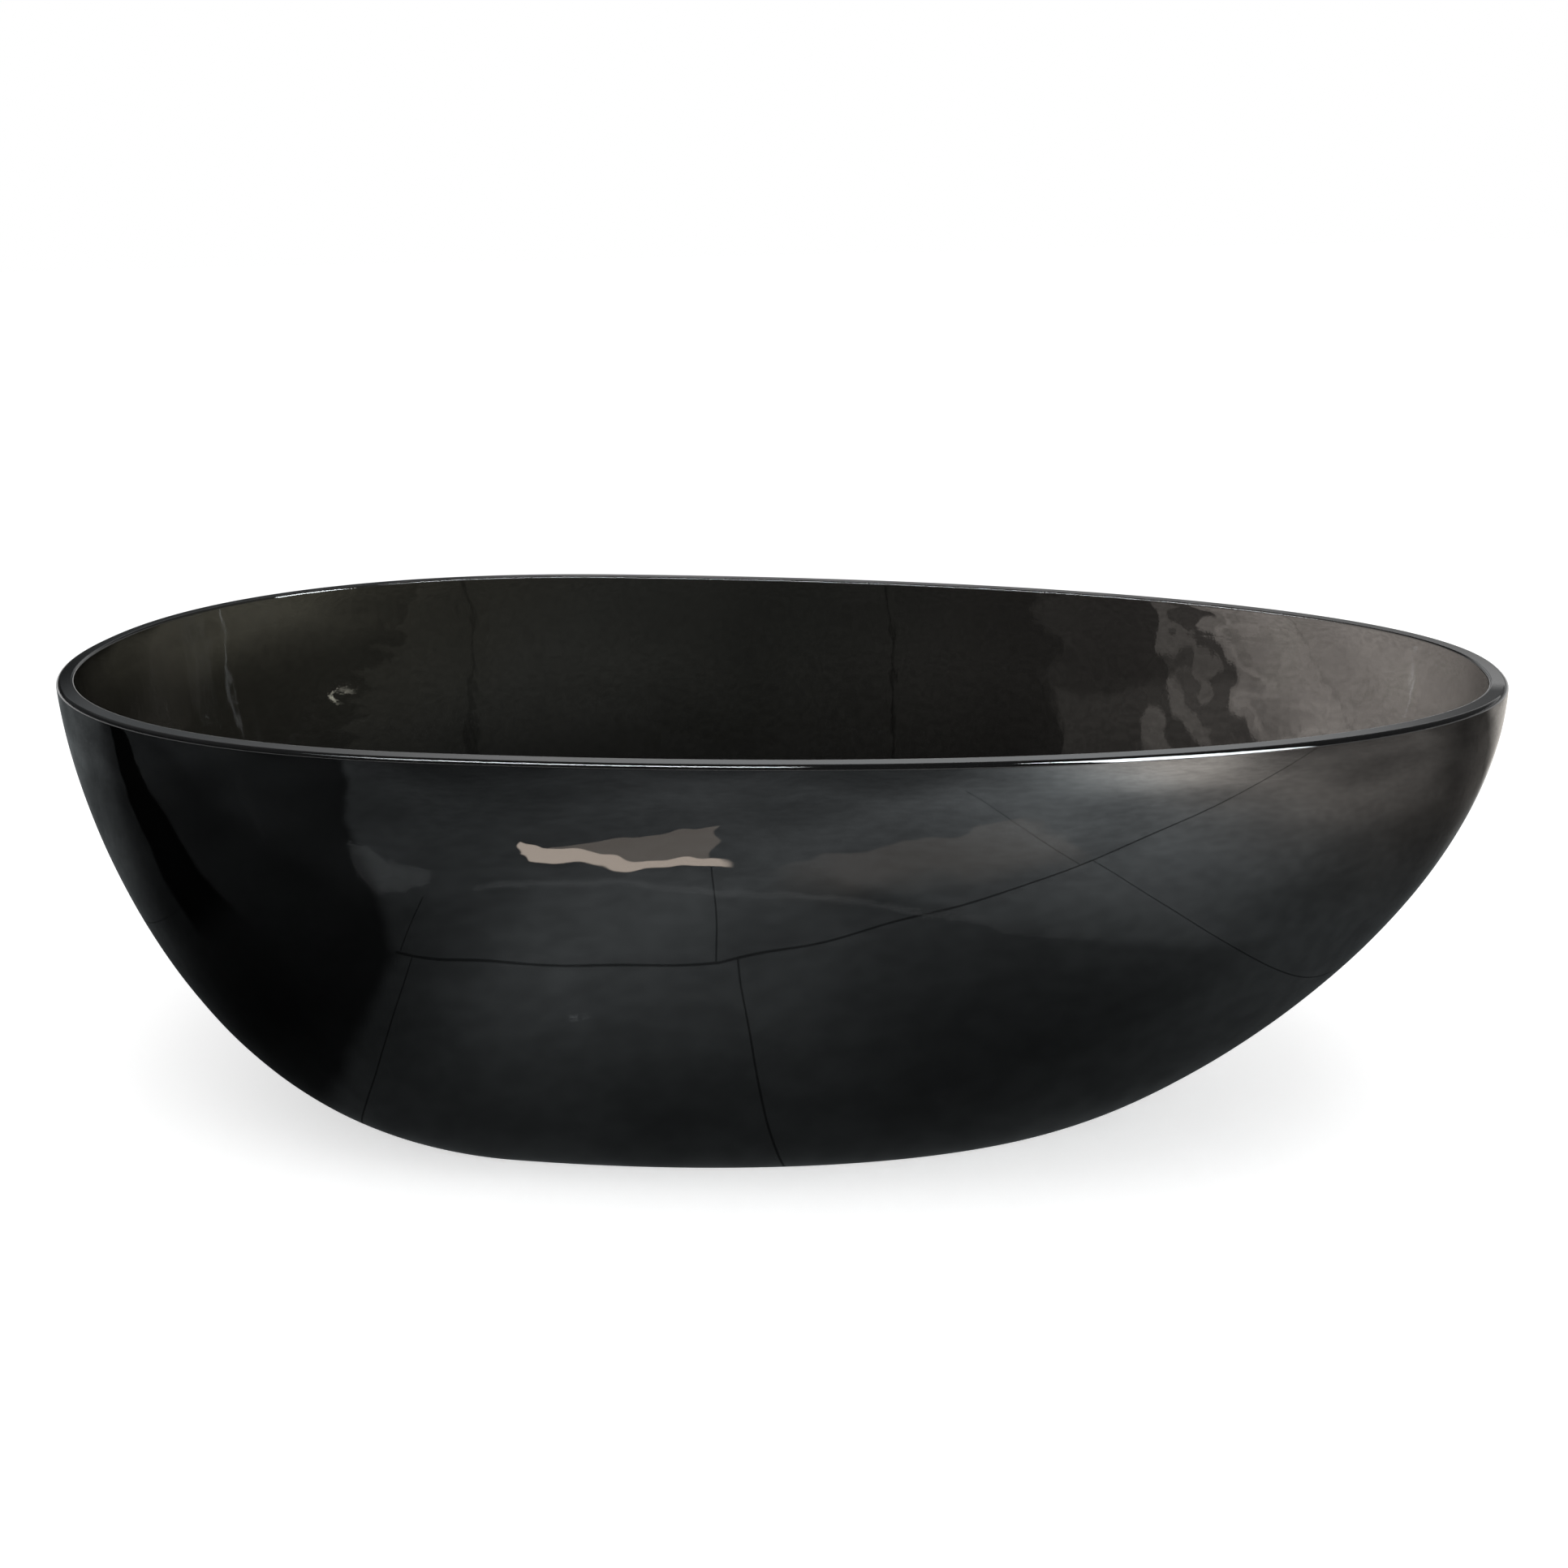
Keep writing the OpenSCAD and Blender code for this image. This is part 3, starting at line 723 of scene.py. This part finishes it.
def paintWarmReflection(tree, place):
    look = mirroredWarmThing
    x, y, _ = split(tree, warped(tree, place, *look["warp"]))
    bendAt, bend = look["stripBend"]
    slope = add(tree, y, times(tree, most(tree, minus(tree, bendAt, x), 0.0), bend))
    thinned = minus(tree, slope, ramp(tree, x, *look["stripThins"]))
    strip = times(tree, within(tree, x, *look["stripSides"]), within(tree, slope, *look["stripBack"]),
                  ramp(tree, thinned, *look["stripFront"]))
    slope = add(tree, y, times(tree, x, look["patchLean"]))
    patch = times(tree, within(tree, x, *look["patchSides"]), ramp(tree, y, *look["patchBack"]),
                  ramp(tree, slope, *look["patchFront"]))
    slope = add(tree, y, times(tree, x, look["trailLean"]))
    trail = times(tree, ramp(tree, x, *look["trailStart"]), ramp(tree, x, *look["trailEnd"]),
                  ramp(tree, slope, *look["trailFront"]), ramp(tree, y, *look["trailBack"]))
    cover = most(tree, strip, times(tree, patch, look["patchShare"]), times(tree, trail, look["trailShare"]))
    return cover, look["colour"], look["strength"]


seenThroughWall = {    # painted light of the ground behind and bright things beyond the head end, seen only through the wall
    "warp": ((4.0, 1.3, 1.0), 0.50, 2.0), "fineWarp": ((11.0, 3.4, 1.0), 0.36, 1.0),
    # steps of light towards the head end, each brighter
    "low": (0.40, 0.43, 0, 1.4), "lowEnd": (1.7, 1.8, 1, 0.4),
    "first": (0.62, 0.628, 0, 3.0), "holes": (0.72, 0.80, 0.006), "holeDepth": 0.7,
    "second": (0.80, 0.81, 0, 3.4), "secondStart": (0.55, 0.62),
    "spots": (0.86, 0.90, 0.005), "spotLift": 2.5,
    "third": (0.84, 0.99, 0, 6.6),
    "seam": (1.04, 1.043, 0, -0.8), "seamLine": (1.038, 1.045, 0.002), "seamDepth": -3.0,
    "last": (1.07, 1.22, 0, 3.2), "lastStart": (1.55, 1.80, 0.2, 1),
    # a soft light beyond the foot end
    "left": {"middle": (-2.15, 2.25), "reach": (0.75, 1.0)}, "leftRamp": (0.0, 1.1, 3.1, 0.0),
    "leftEnd": (-2.45, -2.1, 0.25, 1),
    "grain": ((70, 24, 1), 4.0), "grainRamp": (0.3, 0.7, 0.84, 1.16),
    # its colour along the tub
    "shadeRamp": (-2.0, 1.0),
    "shadeEnds": ((1.04, 1.0, 0.80), (1.02, 0.94, 0.89)),
    "shadesBetween": ((0.3, (1.0, 1.02, 0.93)), (0.6, (1.0, 1.02, 0.93))),
}
paleEdge = {    # an uneven edge of painted paler floor, seen through the wall
    "warp": ((4.0, 9.0, 1.0), 0.22, 1.0), "lean": 0.27, "ramp": (-0.858, -0.842, 0, 0.45), "end": (-1.0, -0.3, 1, 0),
}
curl = {    # a loop of light, open to the right
    "loop": {"middle": (-1.31, 1.535), "reach": (0.048, 0.052)}, "line": (0.95, 1.03, 0.02),
    "open": (-1.322, -1.306, 1, 0), "strength": 40.0,
}
backJoints = {    # joints of the painted floor behind: lean, place, width and depth of each
    "soft": 0.001,
    "lines": ((0.109, 0.188, 0.008, 0.5), (0.396, -0.385, 0.012, 0.3)),
}


def paintBright(tree, place):
    look = seenThroughWall
    x, y, _ = split(tree, warped(tree, place, *look["warp"]))
    fineX = split(tree, warped(tree, place, *look["fineWarp"]))["X"]
    plainX = split(tree, place)["X"]
    low = times(tree, ramp(tree, x, *look["low"]), ramp(tree, y, *look["lowEnd"]))
    holes = times(tree, within(tree, fineX, *look["holes"]), look["holeDepth"])
    first = times(tree, ramp(tree, x, *look["first"]), rest(tree, holes))
    second = times(tree, ramp(tree, fineX, *look["second"]), ramp(tree, plainX, *look["secondStart"]))
    spots = times(tree, within(tree, fineX, *look["spots"]), look["spotLift"])
    seam = add(tree, ramp(tree, plainX, *look["seam"]),
               times(tree, within(tree, plainX, *look["seamLine"]), look["seamDepth"]))
    last = times(tree, ramp(tree, plainX, *look["last"]), ramp(tree, y, *look["lastStart"]))
    light = add(tree, 1.0, low, first, second, spots, ramp(tree, plainX, *look["third"]), seam, last)
    light = add(tree, light, ramp(tree, distance(tree, place, **look["left"]), *look["leftRamp"]))
    return times(tree, light, ramp(tree, plainX, *look["leftEnd"]))


def paintLightBehindWall(tree, place):
    plainX, plainY, _ = split(tree, place)
    x, y, _ = split(tree, warped(tree, place, *paleEdge["warp"]))
    pale = ramp(tree, add(tree, x, times(tree, y, paleEdge["lean"])), *paleEdge["ramp"])
    loop = within(tree, distance(tree, place, **curl["loop"]), *curl["line"])
    loop = times(tree, loop, ramp(tree, plainX, *curl["open"]))
    light = add(tree, paintBright(tree, place), times(tree, pale, ramp(tree, plainX, *paleEdge["end"])),
                times(tree, loop, curl["strength"]))
    for lean, at, width, depth in backJoints["lines"]:
        slope = add(tree, plainX, times(tree, plainY, lean))
        line = within(tree, slope, at - width / 2, at + width / 2, backJoints["soft"])
        light = times(tree, light, rest(tree, times(tree, line, depth)))
    grain = ramp(tree, clouds(tree, place, *seenThroughWall["grain"]), *seenThroughWall["grainRamp"])
    shades = addNode(tree, "ValToRGB", {"Fac": ramp(tree, plainX, *seenThroughWall["shadeRamp"])})
    stops = shades.color_ramp.elements
    for stop, shade in zip(stops, seenThroughWall["shadeEnds"]):    # it has one at each end
        stop.color = (*shade, 1)
    for at, shade in seenThroughWall["shadesBetween"]:
        stops.new(at).color = (*shade, 1)
    return 1.0, shades.outputs["Color"], times(tree, light, grain)


mirroredCeiling = {    # a painted reflection of a dark room above and lit panels in it, which only the polish shows
    "colour": (0.95, 1.0, 1.03, 1), "level": 0.1,
    "over": (3.0, 5.5, 0.9, 0.0), "side": (-5.2, -1.5, 1.0, 0.0), "beyond": (7.6, 9.5, 0.0, 0.6),
    "rightSoft": 0.5,
    "end": (1.0, 3.2), "endBand": (5.8, 7.95, 0.12), "endShare": 0.8,
    "leftStart": (-2.4, -1.0), "leftEnd": (0.0, 0.15, 1, 0), "leftBand": (-2.1, -1.1, 0.03), "leftStrength": 26.0,
    "screen": (-3.0, -1.4), "screenBand": (5.0, 7.8, 0.6), "screenShare": 0.5, "screenStrength": 1.0,
    "fill": (-6.6, -5.6, -0.06, 0.18), "fillEnd": (-2.6, -1.6, 1, 0),
}


def paintCeilingReflection(tree, place):
    look = mirroredCeiling
    x, y, _ = split(tree, place)
    away = distance(tree, place, paintedWindow["from"], (1.0, 1.0))
    right = times(tree, within(tree, bearing(tree, place), *paintedWindow["bearing"], look["rightSoft"]),
                  ramp(tree, away, *paintedWindow["reach"]))
    end = ramp(tree, x, *look["end"])
    left = times(tree, ramp(tree, x, *look["leftStart"]), ramp(tree, x, *look["leftEnd"]),
                 within(tree, y, *look["leftBand"]))
    back = within(tree, y, *look["screenBand"])
    screen = times(tree, ramp(tree, x, *look["screen"]), rest(tree, end), back)
    fill = times(tree, ramp(tree, x, *look["fill"]), ramp(tree, x, *look["fillEnd"]), back)
    dark = most(tree, ramp(tree, y, *look["over"]), ramp(tree, x, *look["side"]), ramp(tree, y, *look["beyond"]))
    cover = most(tree, dark, right, times(tree, end, within(tree, y, *look["endBand"]), look["endShare"]),
                 times(tree, screen, look["screenShare"]))
    light = add(tree, times(tree, right, paintedWindow["strength"]), times(tree, left, look["leftStrength"]),
                times(tree, screen, look["screenStrength"]), fill, look["level"])
    return cover, look["colour"], light


makeCard("paintedFloorReflection", low=(-6.0, -5.5), high=(5.5, 3.5), z=0.001, glossy=True, paint=paintFloorReflection)
makeCard("paintedWarmReflection", low=(-0.8, -1.8), high=(1.0, -0.7), z=0.004, glossy=True, paint=paintWarmReflection)
makeCard("paintedLightBehindWall", low=(-4.0, 0.7), high=(4.0, 8.0), z=0.002, glossy=False, paint=paintLightBehindWall)
makeCard("paintedCeilingReflection", low=(-30.0, -30.0), high=(30.0, 14.0), z=3.0, glossy=True, paint=paintCeilingReflection)

scene.view_settings.view_transform = "Standard"
print("studio set")
